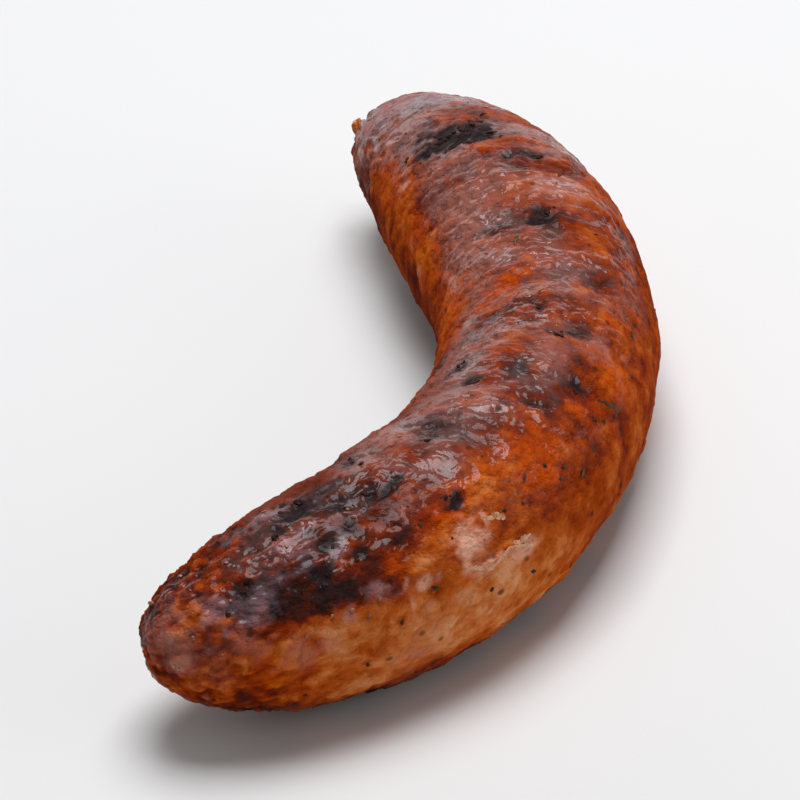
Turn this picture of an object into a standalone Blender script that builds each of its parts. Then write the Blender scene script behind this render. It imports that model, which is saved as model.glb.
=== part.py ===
# One grilled sausage, curved like a boomerang, lying on its side.
# Metres, +Z up. The tips lie along X and the hollow of the curve faces +Y.
# The origin is under the middle of the sausage, on the surface that it rests on.

import bpy
import bmesh
import math
from mathutils import Matrix, Vector

# Driving dimensions
BODY_LENGTH = 0.183               # of the stuffed part, along the middle of the curve
THICKNESS = 0.0358                # across the fattest place
SLUMP = 0.95                      # height over width of a cross-section
TURN = math.radians(128)          # how far the sausage turns from tip to tip
FRONT_CURL = 0.32                 # the front end (-X) curls this share more, the back end less
WAIST = 0.02                      # how much slimmer the middle is than both shoulders
LEAN = 0.04                       # how much fatter the front is than the middle, and the back slimmer
FRONT_TAPER = 0.057               # length over which the front end rounds off
FRONT_BLUNTNESS = 2.4             # 2 is an ellipse, more is blunter
BACK_TAPER = 0.052
BACK_BLUNTNESS = 2.25
SETTLE = 0.0013                   # how far the underside is pressed flat

# Tied casing at the back tip
NUB_LENGTH = 0.0052
NUB_REACH = 0.0022                # how far the nub stands out of the stuffed part
NUB_RADIUS = 0.0025
NECK_RADIUS = 0.0019
ARC_LENGTH = BODY_LENGTH + NUB_REACH

# Marks of the grill bars, pressed across the top and the underside
BAR_COUNT = 8
FIRST_BAR = 0.024                 # from the front tip, along the curve
BAR_PITCH = 0.0185
BAR_WIDTH = 0.0050
BAR_DEPTH = 0.0006
BAR_LEAN = math.radians(14)       # how far the bars cross out of square
BAR_REACH = 0.55                  # where the marks start to show, as the sine of the angle round

# Unevenness of the coarse filling under the casing
LUMPS = (                         # waves along the length, waves around, height, start
    (2, 1, 0.00050, 2.5),
    (3, -1, 0.00035, 2.1),
    (11, 3, 0.00020, 4.4),
    (17, 2, 0.00015, 1.3),
)
PLAIN_TIP = 0.08                  # share of the length where marks and lumps die away at each tip

# Mesh density
SIDES = 52
RINGS = 88
END_DENSITY = 0.45                # rings lie closer together towards the tips
PATH_STEPS = 400

NODE_NAME = "sausage"
COLLECTION_NAME = "grilled_sausage"


def clear_scene():
    for obj in list(bpy.data.objects):
        bpy.data.objects.remove(obj, do_unlink=True)


def smooth_step(value):
    value = min(max(value, 0.0), 1.0)
    return value * value * (3.0 - 2.0 * value)


def centreline():
    # Points and headings along the middle of the sausage, with its chord along X.
    step = ARC_LENGTH / PATH_STEPS
    heading = 0.0
    point = Vector((0.0, 0.0))
    points = [point.copy()]
    headings = [heading]
    for index in range(PATH_STEPS):
        along = 2.0 * (index + 0.5) / PATH_STEPS - 1.0
        turn = TURN / PATH_STEPS * (1.0 - FRONT_CURL * along)
        heading += turn / 2.0
        point = point + Vector((math.cos(heading), math.sin(heading))) * step
        heading += turn / 2.0
        points.append(point.copy())
        headings.append(heading)
    chord = math.atan2(point.y, point.x)
    spin = Matrix.Rotation(-chord, 2)
    return [spin @ p for p in points], [h - chord for h in headings]


def place_on(path, fraction):
    # Point and heading of the path at a fraction of its length.
    points, headings = path
    position = min(max(fraction, 0.0), 1.0) * PATH_STEPS
    index = min(int(position), PATH_STEPS - 1)
    part = position - index
    point = points[index].lerp(points[index + 1], part)
    return point, headings[index] + (headings[index + 1] - headings[index]) * part


def rounded_end(distance, taper, bluntness):
    # 0 at the tip and 1 where the taper ends.
    depth = min(max(1.0 - distance / taper, 0.0), 1.0)
    return (1.0 - depth ** bluntness) ** (1.0 / bluntness)


def body_radius(distance):
    # Half the width of the stuffed part, at a distance from the front tip.
    if distance > BODY_LENGTH:
        return 0.0
    along = 2.0 * distance / BODY_LENGTH - 1.0
    front = rounded_end(distance, FRONT_TAPER, FRONT_BLUNTNESS)
    back = rounded_end(BODY_LENGTH - distance, BACK_TAPER, BACK_BLUNTNESS)
    fullness = 1.0 - WAIST * math.cos(math.pi * along) ** 2 - LEAN * along
    return THICKNESS / 2.0 * front * back * fullness


def nub_radius(distance):
    # Half the width of the tied casing: a neck that swells to a bead.
    past_neck = (distance - (ARC_LENGTH - NUB_LENGTH)) / NUB_LENGTH
    if past_neck < 0.0:
        return 0.0
    swell = NECK_RADIUS + (NUB_RADIUS - NECK_RADIUS) * math.sin(math.pi * past_neck)
    return swell * math.sqrt(max(1.0 - past_neck ** 4, 0.0))


def bar_mark(distance, around):
    # Depth of the grill bars' marks, which fade out towards the sides.
    lean = math.tan(BAR_LEAN) * THICKNESS / 2.0 * math.cos(around)
    index = round((distance + lean - FIRST_BAR) / BAR_PITCH)
    index = min(max(index, 0), BAR_COUNT - 1)
    offset = distance + lean - FIRST_BAR - index * BAR_PITCH
    profile = math.exp(-(2.0 * offset / BAR_WIDTH) ** 2)
    facing = smooth_step((abs(math.sin(around)) - BAR_REACH) / (1.0 - BAR_REACH))
    return BAR_DEPTH * profile * facing


def lumps(fraction, around):
    total = 0.0
    for along_waves, around_waves, height, start in LUMPS:
        total += height * math.sin(2.0 * math.pi * along_waves * fraction + around_waves * around + start)
    return total


def skin_radius(distance, around):
    plain = PLAIN_TIP * ARC_LENGTH
    fade = smooth_step(distance / plain) * smooth_step((ARC_LENGTH - distance) / plain)
    relief = lumps(distance / ARC_LENGTH, around) - bar_mark(distance, around)
    return max(body_radius(distance) + fade * relief, nub_radius(distance))


def skin_point(path, distance, around):
    # A point of the casing, its height measured from the surface underneath.
    centre, heading = place_on(path, distance / ARC_LENGTH)
    radius = skin_radius(distance, around)
    outward = Vector((math.sin(heading), -math.cos(heading)))
    flat = centre + outward * (radius * math.cos(around))
    middle_height = SLUMP * THICKNESS / 2.0 - SETTLE
    height = middle_height + SLUMP * radius * math.sin(around)
    return Vector((flat.x, flat.y, max(height, 0.0)))


def ring_distance(share):
    # Spreads the rings so that they crowd together at the two tips.
    return ARC_LENGTH * (share - END_DENSITY * math.sin(2.0 * math.pi * share) / (2.0 * math.pi))


def build_skin(bm, path):
    # A ball whose poles become the tips and whose rings wrap round the centreline.
    bmesh.ops.create_uvsphere(bm, u_segments=SIDES, v_segments=RINGS, radius=1.0)
    for vert in bm.verts:
        polar = math.acos(min(max(-vert.co.z, -1.0), 1.0))
        around = math.atan2(-vert.co.y, vert.co.x)
        vert.co = skin_point(path, ring_distance(polar / math.pi), around)


def centre_over_origin(bm):
    lows = [min(v.co[axis] for v in bm.verts) for axis in range(2)]
    highs = [max(v.co[axis] for v in bm.verts) for axis in range(2)]
    shift = Vector((-(lows[0] + highs[0]) / 2.0, -(lows[1] + highs[1]) / 2.0, 0.0))
    bmesh.ops.translate(bm, vec=shift, verts=bm.verts)


def browned_casing():
    material = bpy.data.materials.new("browned_casing")
    material.use_nodes = True
    shader = material.node_tree.nodes["Principled BSDF"]
    shader.inputs["Base Color"].default_value = (0.22, 0.055, 0.022, 1.0)
    shader.inputs["Roughness"].default_value = 0.32
    shader.inputs["Metallic"].default_value = 0.0
    return material


def build_sausage():
    bm = bmesh.new()
    build_skin(bm, centreline())
    centre_over_origin(bm)
    mesh = bpy.data.meshes.new(NODE_NAME)
    bm.to_mesh(mesh)
    bm.free()
    mesh.shade_smooth()
    mesh.materials.append(browned_casing())
    return bpy.data.objects.new(NODE_NAME, mesh)


def main():
    clear_scene()
    collection = bpy.data.collections.new(COLLECTION_NAME)
    bpy.context.scene.collection.children.link(collection)
    collection.objects.link(build_sausage())


main()
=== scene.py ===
import bpy
import bmesh
import math
import random
import numpy as np
from mathutils import Matrix, Vector, noise


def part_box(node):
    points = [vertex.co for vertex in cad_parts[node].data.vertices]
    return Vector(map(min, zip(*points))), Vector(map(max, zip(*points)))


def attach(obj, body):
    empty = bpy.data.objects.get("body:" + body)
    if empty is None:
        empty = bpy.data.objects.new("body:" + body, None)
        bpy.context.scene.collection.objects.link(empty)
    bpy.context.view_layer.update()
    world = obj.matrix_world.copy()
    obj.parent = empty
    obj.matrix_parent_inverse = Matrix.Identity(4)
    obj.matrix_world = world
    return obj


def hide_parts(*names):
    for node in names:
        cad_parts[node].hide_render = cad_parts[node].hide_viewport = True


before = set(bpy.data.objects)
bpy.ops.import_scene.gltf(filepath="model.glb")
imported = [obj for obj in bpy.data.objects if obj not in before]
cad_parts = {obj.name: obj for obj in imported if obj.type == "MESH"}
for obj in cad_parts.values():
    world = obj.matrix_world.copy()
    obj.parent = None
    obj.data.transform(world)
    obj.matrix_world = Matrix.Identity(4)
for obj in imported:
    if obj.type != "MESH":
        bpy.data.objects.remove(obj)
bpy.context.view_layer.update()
scene = bpy.context.scene
mm = 0.001

# Shape of the sausage, the same as the solid's: lengths in metres, angles in degrees.
# A place on the skin is a distance along from the blunt front tip and an angle around:
# 0 is the outside of the curve, 90 the top, 180 the hollow side and 270 the underside.
form = {
    "bodyLength": 0.183,
    "thickness": 0.0358,
    "slump": 0.95,           # height over width
    "turn": 128,
    "frontCurl": 0.32,
    "waist": 0.02,
    "lean": 0.04,
    "frontTaper": 0.057,
    "frontBluntness": 2.4,
    "backTaper": 0.052,
    "backBluntness": 2.25,
    "settle": 0.0013,        # how far the underside is pressed flat
    "nubReach": 0.0022,
    "plainTip": 0.08,
    "slopeStep": 0.05 * mm,
    "swells": ((2, 1, 0.5 * mm, 2.5), (3, -1, 0.35 * mm, 2.1)),
}


# ---- small helpers

def smooth(low, high, values):
    share = np.clip((values - low) / (high - low), 0, 1)
    return share * share * (3 - 2 * share)


def fractalAt(places, size, octaves, seed):
    # Cloudy noise of about -1 to 1, its lumps as big as size.
    shift = Vector((seed * 7.31, seed * 3.17, seed * 5.93))
    return np.array([noise.fractal(Vector(p) + shift, 1.0, 2.0, octaves) for p in places / size])


def granulesAt(places, size, seed):
    # Uneven granules as big as size: how high each place is on its own one, and that one's tint of -1 to 1.
    shift = Vector((seed * 4.13, seed * 6.37, seed * 2.71))
    spots = [Vector(p) + shift for p in places / size]
    found = [noise.voronoi(spot + 0.4 * noise.noise_vector(1.3 * spot)) for spot in spots]
    nearest = np.array([distances[0] for distances, _ in found])
    second = np.array([distances[1] for distances, _ in found])
    centres = np.array([points[0][:] for _, points in found])
    tint = np.modf(np.abs(np.sin(centres @ np.array([12.99, 78.23, 37.72])) * 437.5))[0]
    return smooth(0, 0.55, second - nearest) * (1 - 0.5 * nearest), 2 * tint - 1


def walkCentreline():
    steps = 400
    arc = form["bodyLength"] + form["nubReach"]
    along = 2 * (np.arange(steps) + 0.5) / steps - 1
    turns = math.radians(form["turn"]) / steps * (1 - form["frontCurl"] * along)
    headings = np.concatenate([[0], np.cumsum(turns)])
    middles = (headings[1:] + headings[:-1]) / 2
    xs = np.concatenate([[0], np.cumsum(np.cos(middles))]) * arc / steps
    ys = np.concatenate([[0], np.cumsum(np.sin(middles))]) * arc / steps
    chord = math.atan2(ys[-1], xs[-1])
    flatX = math.cos(chord) * xs + math.sin(chord) * ys
    flatY = math.cos(chord) * ys - math.sin(chord) * xs
    return np.linspace(0, arc, steps + 1), flatX, flatY, headings - chord


path = walkCentreline()


def roundedEnd(distance, taper, bluntness):
    depth = np.clip(1 - distance / taper, 0, 1)
    return (1 - depth ** bluntness) ** (1 / bluntness)


def bodyRadius(along):
    length = form["bodyLength"]
    place = 2 * along / length - 1
    front = roundedEnd(along, form["frontTaper"], form["frontBluntness"])
    back = roundedEnd(length - along, form["backTaper"], form["backBluntness"])
    fullness = 1 - form["waist"] * np.cos(math.pi * place) ** 2 - form["lean"] * place
    return form["thickness"] / 2 * front * back * fullness


def tipFade(along):
    arc = form["bodyLength"] + form["nubReach"]
    plain = form["plainTip"] * arc
    return smooth(0, plain, along) * smooth(0, plain, arc - along)


def skinRadius(along, around):
    arc = form["bodyLength"] + form["nubReach"]
    swell = 0
    for alongWaves, aroundWaves, height, start in form["swells"]:
        swell = swell + height * np.sin(2 * math.pi * alongWaves * along / arc + aroundWaves * around + start)
    return bodyRadius(along) + tipFade(along) * swell


def placeOnSkin(along, around, relief=0):
    # World places for distances along, angles around (radians) and heights over the plain skin.
    distances, xs, ys, headings = path
    heading = np.interp(along, distances, headings)
    before, after = np.clip([along - form["slopeStep"], along + form["slopeStep"]], 0, form["bodyLength"])
    slope = np.arctan((bodyRadius(after) - bodyRadius(before)) / (2 * form["slopeStep"]))
    radius = skinRadius(along, around) + relief * np.cos(slope)
    endwise = -relief * np.sin(slope)
    sideways = radius * np.cos(around)
    x = np.interp(along, distances, xs) + np.sin(heading) * sideways + np.cos(heading) * endwise - middle[0]
    y = np.interp(along, distances, ys) - np.cos(heading) * sideways + np.sin(heading) * endwise - middle[1]
    z = form["slump"] * (form["thickness"] / 2 + radius * np.sin(around)) - form["settle"]
    return np.stack([x, y, np.maximum(z, 0)], axis=-1)


def findMiddle():
    # The middle of the plain skin's box, which the solid has over the origin.
    along, around = np.meshgrid(np.linspace(0, form["bodyLength"], 500), np.linspace(0, 2 * math.pi, 180))
    spots = placeOnSkin(along, around).reshape(-1, 3)
    low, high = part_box("sausage")
    centre = (spots.min(axis=0) + spots.max(axis=0)) / 2
    return centre[0] - (low[0] + high[0]) / 2, centre[1] - (low[1] + high[1]) / 2


middle = (0, 0)
middle = findMiddle()


def straightPlace(along, around, radius):
    # The same place on a sausage that lies straight, where patterns are laid out.
    return np.stack([along, radius * np.cos(around), radius * np.sin(around)], axis=-1)


# Grill bars ran straight across the sausage while it lay there, so they cross its bend at a slant.
grill = {
    "heading": -78.5,        # the way the bars ran, degrees from +X
    "pitch": 15.5 * mm,
    "first": -68.5 * mm,
    "width": 5.5 * mm,
    "depth": 0.36 * mm,
    "contact": 23 * mm,      # only skin above this height was pressed on the bars
    "undersideHeading": -112,
    "undersideFirst": -74 * mm,
}

# Marks on the skin, each (along mm, around deg, length mm, width mm, lean deg, strength).
# A lean of 0 runs round the girth and 90 along the sausage.
charMarks = [
    (14.5, 58, 4, 3, 0, 0.8), (18, 37, 4, 3.5, 0, 0.7), (16.5, 52, 5, 4, 60, 0.25), (22, 40, 9, 4, 70, 0.55),
    (25, 51, 5, 3, 60, 0.75), (23, 92, 4, 3, 0, 0.85), (28, 97, 11, 4.5, 80, 0.9), (34, 99, 6, 3, 70, 0.55),
    (33, 87, 5, 3, 60, 0.7), (32, 70, 4, 3, 0, 0.7), (28, 68, 5, 3.5, 30, 0.55), (27, 77, 5, 2.5, 70, 0.5),
    (31.5, 52, 3, 2.5, 0, 0.65), (32.5, 46, 3, 2.5, 0, 0.5), (42, 114, 5, 3.5, 60, 0.85), (41, 77, 8, 2, 75, 0.7),
    (38, 80, 4, 2, 60, 0.6), (46.5, 53, 4, 2.5, 70, 0.95), (38, 52, 6, 2, 80, 0.5), (13, 49, 2.5, 2, 0, 0.7),
    (19, 52, 6, 4, 0, 0.4), (24, 61, 4, 2, 80, 0.4), (17, 95, 6, 4, 0, 0.35), (4, 75, 4, 3, 0, 0.4),
    (57, 96, 11, 7, -35, 0.6), (58, 97, 5, 3, -30, 0.5), (56, 106, 5, 3, 0, 0.4), (55, 84, 6, 3, -40, 0.45),
    (60, 78, 6, 3, -30, 0.35), (70, 101, 3.5, 3, 0, 0.75), (75, 113, 6, 4, -60, 0.85), (77, 107, 4, 2, -70, 0.5),
    (69, 62, 5, 2, -30, 0.5), (69, 57, 3, 2, 0, 0.4), (66, 76, 3, 2, -20, 0.4), (67, 94, 3, 2, -60, 0.4),
    (87, 76, 6, 2.5, -30, 0.55), (88.5, 66, 7, 2.5, -30, 0.6), (87, 72, 2, 1.5, 0, 0.6), (75, 79, 5, 2, 60, 0.4),
    (78, 77, 3, 2, 0, 0.35), (78, 52, 3, 2, 0, 0.6), (80, 49, 4, 2, 40, 0.4), (83, 57, 3, 3, 0, 0.4),
    (85, 52, 4, 2.5, -60, 0.35), (82, 88, 4, 1.5, -30, 0.45), (94, 85, 3, 2.5, 0, 0.6), (97, 80, 2.5, 2, 0, 0.45),
    (93, 110, 8, 3, -25, 0.4), (95, 100, 8, 3, -20, 0.45), (99, 83, 2.5, 2, 0, 0.45), (107, 99, 3, 2, 0, 0.5),
    (106, 62, 3, 1.5, -30, 0.45), (120, 88, 5, 4, 0, 1.0), (121, 95, 5, 4, 0, 0.5), (122, 84, 6, 3, 20, 0.4),
    (120, 118, 3, 2.5, 0, 0.45), (118, 111, 5, 1.5, 10, 0.5), (117, 96, 4, 3, 0, 0.35), (116, 84, 6, 5, 10, 0.4),
    (138.5, 77, 7, 2.5, 10, 0.7), (141, 74, 4, 2, 20, 0.4), (133, 103, 12, 1.5, 10, 0.3), (134, 139, 2, 2, 0, 0.35),
    (142, 140, 3, 2, 50, 0.45), (151, 105, 14, 8, 25, 1.3), (150, 95, 10, 7, 25, 1.3), (152, 112, 8, 6, 30, 0.9), (148, 112, 3, 3, 0, 0.7),
    (154, 100, 9, 5, 25, 0.5), (161, 128, 3, 2, 30, 0.6), (152, 117, 4, 3, 30, 0.4), (157, 112, 8, 6, 30, 0.5),
    (163, 78, 8, 3, 40, 0.45), (156, 80, 4, 2, 30, 0.5), (146, 78, 5, 2.5, 40, 0.5), (166, 92, 8, 5, 30, 0.45),
    (170, 105, 10, 4, 30, 0.4), (12, -24, 4, 2, 0, 0.4), (17, -22, 6, 1.5, 80, 0.5), (30, 40, 4, 5, 0, 0.3),
    (28, -12, 4, 1.5, 0, 0.45), (33, 8, 3, 1.5, 0, 0.4), (31, 11, 4, 1.2, 10, 0.4), (32, -6, 3, 1.5, 0, 0.3),
    (24, 30, 3, 3, 0, 0.35), (27, 38, 4, 3, 0, 0.5), (20, 33, 3, 3, 0, 0.4), (40.5, 52, 2, 2, 0, 0.5),
    (80, 25, 4, 4, 0, 0.35), (89, 22, 3, 3, 0, 0.3), (58, 12, 3, 2.5, 0, 0.35),
]
amberMarks = [
    (44, 50, 6, 8, 0, 0.9), (35, 41, 4, 5, 0, 0.8), (43, 16, 4, 4, 0, 0.7), (50, 19, 2, 3, 0, 0.9),
    (50, 50, 8, 10, 0, 0.6), (62, 44, 12, 12, 0, 0.8), (75.5, 44, 6, 5, -30, 1.0),
    (85, 34, 6, 5, 0, 1.0), (96, 47, 4, 3, 0, 0.8), (102, 112, 15, 5, -49, 1.3), (108, 155, 9, 26, 0, 1.0),
    (132, 157, 8, 34, 0, 1.0), (156, 152, 8, 26, 0, 1.0), (16, 2, 12, 12, 0, 0.8), (143, 92, 6, 5, 0, 0.4),
    (135, 78, 8, 3, 10, 0.5), (23, 45, 4, 4, 0, 0.5), (14, 97, 3, 3, 0, 0.7), (31, 42, 6, 5, 0, 0.4),
    (113, 103, 2.5, 1.5, 20, 0.8), (6, 22, 6, 3, 0, 0.6), (90, 20, 8, 20, 0, 0.3), (80, 90, 4, 3, -30, 0.4),
]
# Pale casing where it dried or peeled, and among it painted highlights: small pinkish-white glints drawn as pale
# patches.
paleAndGlintMarks = [
    (45, 31, 8, 4.5, -15, 1.0), (47, 34, 5, 2, -40, 0.8), (49, 37, 3, 1.2, 0, 0.7), (37.5, 24, 2.2, 4, 0, 0.9),
    (47, 16.5, 2, 7, 0, 0.9), (52.5, 13, 2.5, 5, 0, 0.8), (43.5, 21, 3, 2, 0, 0.8), (35, 15, 4, 1.2, 0, 0.7),
    (42, 7, 2.5, 4, 0, 0.5), (45.5, -10, 1.2, 2.5, 0, 0.9), (36.5, 41, 3, 1, 20, 0.6), (35, 29, 3, 1, 20, 0.5),
    (37, 10, 3, 3, 0, 0.4), (27, 20, 4, 3, 0, 0.4), (24, 8, 5, 3, 0, 0.45), (66, 38, 3.5, 1, 10, 0.4),
    (94, 42, 4, 3, 0, 0.25), (137, 160, 3, 2.5, 0, 0.4), (130, 165, 3, 5, 0, 0.6), (168, 141, 9, 1.5, 65, 0.6),
    (165, 146, 8, 1.2, 65, 0.5), (160, 138, 5, 1.5, 60, 0.5), (150, 143, 4, 2, 50, 0.5), (152, 136, 5, 1.5, 35, 0.5),
    (105.5, 103, 3, 2, -30, 0.3), (3, 25, 3, 2, 0, 0.2), (36, -12, 14, 8, 0, 0.3), (67, 86, 4, 2, -30, 0.3),
]
# Painted sheen: pinkish patches that stand in for the soft reflection of the lamps on the casing.
paintedSheenMarks = [
    (5, 30, 9, 8, 0, 0.8), (9, 8, 10, 7, 0, 0.4), (4, 62, 8, 7, 0, 0.7), (13, 22, 7, 6, 0, 0.7), (19, 10, 6, 5, 0, 0.6),
    (52, 107, 10, 10, -60, 0.9), (46, 80, 5, 2, 70, 0.7), (41, 68, 6, 4, 80, 0.5), (36, 77, 6, 4, 60, 0.5),
    (64, 80, 12, 3, -35, 0.9), (62, 112, 8, 4, -50, 0.8), (67, 86, 4, 3, -30, 0.5), (85, 108, 12, 9, -30, 0.9),
    (84, 100, 8, 5, -30, 0.6), (88, 92, 8, 3, -25, 0.6), (103, 85, 12, 5, -5, 0.6), (106, 72, 10, 6, 0, 0.7),
    (98, 52, 8, 5, 0, 0.6), (88, 52, 10, 6, -30, 0.7), (113, 122, 14, 9, 10, 1.0), (118, 132, 8, 6, 10, 0.7),
    (126, 120, 10, 7, 20, 0.6), (130, 105, 10, 6, 20, 0.6), (137, 112, 10, 4, 25, 0.6), (127, 75, 14, 6, 10, 0.9),
    (143, 128, 8, 4, 30, 0.5), (125, 100, 8, 6, 10, 0.5), (147, 66, 14, 7, 35, 1.0), (103, 40, 8, 16, 0, 0.4),
]
# Painted reflections: cooler lavender patches standing in for glints of the lamps and the backdrop.
paintedReflectionMarks = [
    (11, 53, 6, 5, 0, 1.1), (15.5, 45, 6, 5, 0, 1.1), (13, 49, 6, 6, 0, 1.0), (12.5, 36, 4, 2.5, 60, 0.7), (9, 62, 6, 4, 60, 0.5), (24, 108, 11, 3, 85, 1.0),
    (17, 106, 6, 3, 60, 0.6), (19, 58, 8, 5, 60, 0.6), (23, 58, 6, 2, 85, 0.6), (24, 74, 8, 5, 70, 0.8),
    (28.5, 59, 5, 2.5, 50, 0.8), (31, 30, 4, 3.5, 0, 0.9), (27, 24, 3, 2, 0, 0.7), (25, 28, 3, 2, 0, 0.5),
    (33, 84, 5, 3, 60, 0.5), (33, 72, 4, 2, 30, 0.4), (46.5, 56, 3, 1.5, 80, 0.5), (4, 44, 4, 3, 0, 0.35),
    (165, 66, 16, 10, 30, 0.9), (172, 95, 20, 10, 0, 1.0), (178, 110, 20, 10, 0, 1.0), (160, 112, 8, 6, 30, 0.6),
    (150, 72, 8, 3, 40, 0.6), (128, 72, 10, 4, 10, 0.6), (75, 80, 6, 3, 60, 0.4), (92, 115, 5, 3, 0, 0.5),
    (108, 88, 8, 4, 0, 0.5), (122, 94, 4, 3, 0, 0.5), (57, 100, 6, 4, -40, 0.4), (30, 97, 12, 4, 80, 0.5),
]
# Places kept clear of the painted sheen.
sheenFreeMarks = [
    (102, 112, 13, 4, -49, 1.0), (75, 88, 9, 9, -30, 0.8), (80, 90, 4, 3, -30, 0.8), (95, 98, 12, 5, -20, 0.9),
    (95, 70, 9, 6, -20, 0.9), (96, 47, 4, 3, 0, 1.0), (143, 92, 10, 7, 25, 0.8), (135, 78, 10, 4, 10, 0.9),
    (152, 135, 7, 4, 35, 0.9), (137, 119, 5, 3, 30, 0.6), (119, 108, 6, 2.5, 10, 0.9), (158, 99, 6, 4, 30, 0.8),
    (48, 84, 5, 3, 70, 0.8), (40, 84, 8, 7, 60, 0.6), (54, 62, 8, 6, 0, 0.9), (62, 58, 10, 8, -30, 0.9),
    (70, 70, 8, 7, -30, 0.7), (118, 75, 10, 6, 10, 0.6), (23, 45, 4, 4, 0, 0.7), (14, 97, 3, 3, 0, 0.8),
]
wetMarks = [
    (109, 82, 16, 6, 0, 0.6), (131, 100, 18, 6, 12, 0.6), (89, 95, 12, 5, -25, 0.7), (72, 74, 8, 4, -30, 0.5),
    (10, 38, 5, 4, 0, 0.5), (8, 70, 5, 4, 0, 0.5), (16, 85, 6, 4, 60, 0.6), (35, 84, 7, 4, 70, 0.6),
    (13, 46, 7, 5, 0, 1.0), (24, 75, 8, 6, 70, 1.0), (28.5, 59, 5, 3, 50, 0.9), (31, 30, 4, 4, 0, 0.9),
    (27, 24, 3, 2.5, 0, 1.0), (25, 27, 3, 2, 0, 1.0), (24, 108, 11, 4, 85, 0.8), (46, 28, 8, 5, 15, 0.7),
    (95, 98, 3, 2.5, 0, 1.0), (52, 107, 12, 10, -60, 0.6), (86, 112, 12, 10, -30, 0.7), (113, 124, 14, 12, 10, 0.5),
    (127, 73, 12, 7, 10, 0.8), (147, 66, 14, 8, 35, 0.9), (172, 100, 24, 14, 0, 0.8), (164, 70, 12, 8, 30, 0.8),
    (64, 80, 10, 3, -35, 0.6), (5, 8, 3, 2, 0, 0.8), (21, 20, 5, 3, 0, 0.8), (20, 5, 3, 2, 0, 0.5),
]


# Thin raised creases of slack casing.
foldMarks = [
    (78.5, 104, 10, 1.0, -35, 0.7), (80, 103, 14, 1.1, -32, 1.0), (82, 104, 14, 1.0, -32, 0.9),
    (84, 104, 14, 1.1, -32, 1.0), (86, 104, 12, 1.0, -30, 0.8), (64, 80, 15, 2.0, -35, 1.0), (62, 104, 12, 1.2, -45, 0.9),
    (67, 88, 10, 1.2, -35, 0.7), (92, 84, 14, 1.2, -18, 0.8), (90, 74, 12, 1.2, -25, 0.8), (107, 80, 16, 1.2, -5, 0.8),
    (110, 75, 16, 1.2, 0, 0.7), (112, 112, 14, 1.2, 10, 0.8), (108, 118, 12, 1.0, 5, 0.7), (125, 72, 14, 1.4, 10, 0.9),
    (128, 74, 14, 1.2, 10, 0.9), (133, 98, 20, 1.4, 14, 0.9), (124, 108, 10, 1.2, 12, 0.6), (139, 108, 12, 1.2, 20, 0.6),
    (148, 62, 12, 1.4, 35, 1.0), (145, 61, 12, 1.2, 35, 0.8), (142, 66, 12, 1.2, 28, 0.8), (168, 141, 10, 1.2, 65, 1.0),
    (165, 146, 9, 1.2, 65, 0.9), (171, 136, 9, 1.2, 65, 0.8), (162, 140, 7, 1.0, 60, 0.8), (152, 136, 6, 1.2, 35, 0.8),
    (38, 48, 8, 1.2, 60, 0.8), (39.5, 42, 6, 1.0, 60, 0.7), (46, 80, 5, 1.4, 70, 0.9), (36, 36, 4, 1.0, 20, 0.7),
    (24, 80, 8, 1.2, 85, 0.8), (25, 71, 8, 1.2, 80, 0.8), (28.5, 60, 5, 1.4, 60, 0.9), (23, 57, 8, 1.2, 85, 0.8),
    (44.5, 18.5, 5, 1.2, -62, 1.0), (47, 16.5, 3, 1.2, 81, 1.0), (49, 18.5, 3, 1.2, 65, 0.9), (52, 16, 5, 1.2, -58, 1.0),
    (31, 30, 4, 2.0, 10, 0.7), (66, 38, 4, 1.0, 10, 0.7), (97, 60, 10, 1.2, -10, 0.6), (55, 112, 10, 1.4, -55, 0.7),
]


def markStrength(marks, along, around, wander):
    # The strongest of the marks at each place, with edges that wander and fade.
    total = np.zeros(len(along))
    for alongMm, aroundDeg, length, width, lean, strength in marks:
        turn = np.angle(np.exp(1j * (around - math.radians(aroundDeg))))
        ds = along / mm - alongMm
        girth = skinRadius(np.array([alongMm * mm]), np.array([math.radians(aroundDeg)]))[0] / mm
        dw = turn * girth
        leanTurn = math.radians(lean)
        across = (ds * math.cos(leanTurn) - dw * math.sin(leanTurn)) / (width / 2)
        lengthwise = (ds * math.sin(leanTurn) + dw * math.cos(leanTurn)) / (length / 2)
        reach = np.sqrt(across ** 2 + lengthwise ** 2) + wander
        total = np.maximum(total, strength * (1 - smooth(0.1, 1.7, reach)))
    return total


# ---- the skin

skin = {
    "sides": 224,
    "rings": 428,
    "lumpSize": 11 * mm,
    "lumpHeight": 0.50 * mm,
    "bulgeSize": 5.2 * mm,
    "bulgeHeight": 0.24 * mm,
    "grainSize": 2.6 * mm,   # coarse mince pushing at the casing
    "grainHeight": 0.15 * mm,
    "crumbSize": 1.5 * mm,
    "crumbHeight": 0.12 * mm,
    # How strong the painted sheen is over the top face, and how far the skin rises under painted sheen and painted
    # reflections.
    "plainPaintedSheen": 0.55,
    "paintedSheenLift": 0.14 * mm,
    "wrinkleSize": 2.3 * mm,
    "wrinkleStretch": 3.2,
    "wrinkleHeight": 0.24 * mm,
    "fineSize": 1.7 * mm,
    "fineHeight": 0.15 * mm,
    "foldHeight": 0.26 * mm,
    "markDepth": 0.30 * mm,
    "puckerFolds": 15,
    "puckerHeight": 0.28 * mm,
    "puckerReach": 6 * mm,
}


def acrossBars(places, heading):
    # Distances across the bars and along them, for places in the part's own frame.
    turn = math.radians(heading)
    return (-places[:, 0] * math.sin(turn) + places[:, 1] * math.cos(turn),
            places[:, 0] * math.cos(turn) + places[:, 1] * math.sin(turn))


def barShare(places, heading, first, contact, wander):
    # 1 in the middle of a bar's print and 0 between the bars.
    across, _ = acrossBars(places, heading)
    phase = (across - first) / grill["pitch"] + 0.22 * wander
    offset = np.abs(phase - np.round(phase)) * grill["pitch"] / (grill["width"] / 2)
    return (1 - smooth(0.35, 1.3, offset + 0.35 * wander)) * contact


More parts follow.
